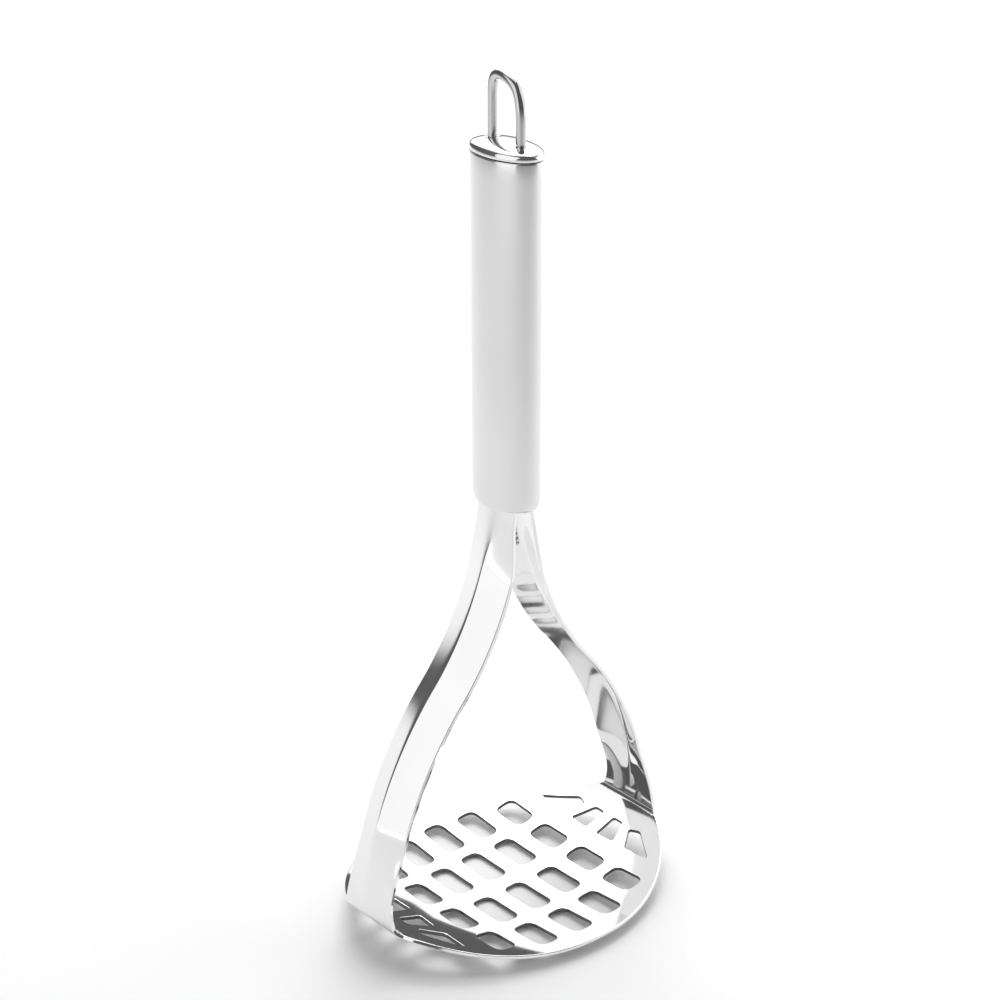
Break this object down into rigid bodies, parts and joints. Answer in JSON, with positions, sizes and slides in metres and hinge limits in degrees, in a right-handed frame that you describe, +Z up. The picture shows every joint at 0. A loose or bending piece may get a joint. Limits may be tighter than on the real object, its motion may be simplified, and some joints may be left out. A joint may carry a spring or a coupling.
{
  "type": "potato masher",
  "caption": "Hand potato masher: dished slotted plate on two ridged strap arms, oval tube handle with a domed cap and a wire hanging loop.",
  "frame": {"origin": "on the handle's axis, at the lowest point of the mashing plate, which is the bottom centre of the bounding box", "axes": "+Z up along the handle, +X from the left arm to the right arm, +Y across the plate's short side"},
  "size_m": [0.1038, 0.0848, 0.2485],
  "materials": {
    "mirror_steel": "mirror-polished stainless steel sheet",
    "satin_steel": "fine satin stainless steel, hairline grain round the handle",
    "polished_steel": "polished stainless steel",
    "plain_steel": "unpolished stainless steel, inside the handle"
  },
  "bodies": {
    "root": {"mashing_plate": "mirror_steel", "left_arm": "mirror_steel", "right_arm": "mirror_steel", "neck_plug": "plain_steel", "handle_tube": "satin_steel", "end_cap": "polished_steel", "hanging_loop": "polished_steel"}
  },
  "joints": []
}
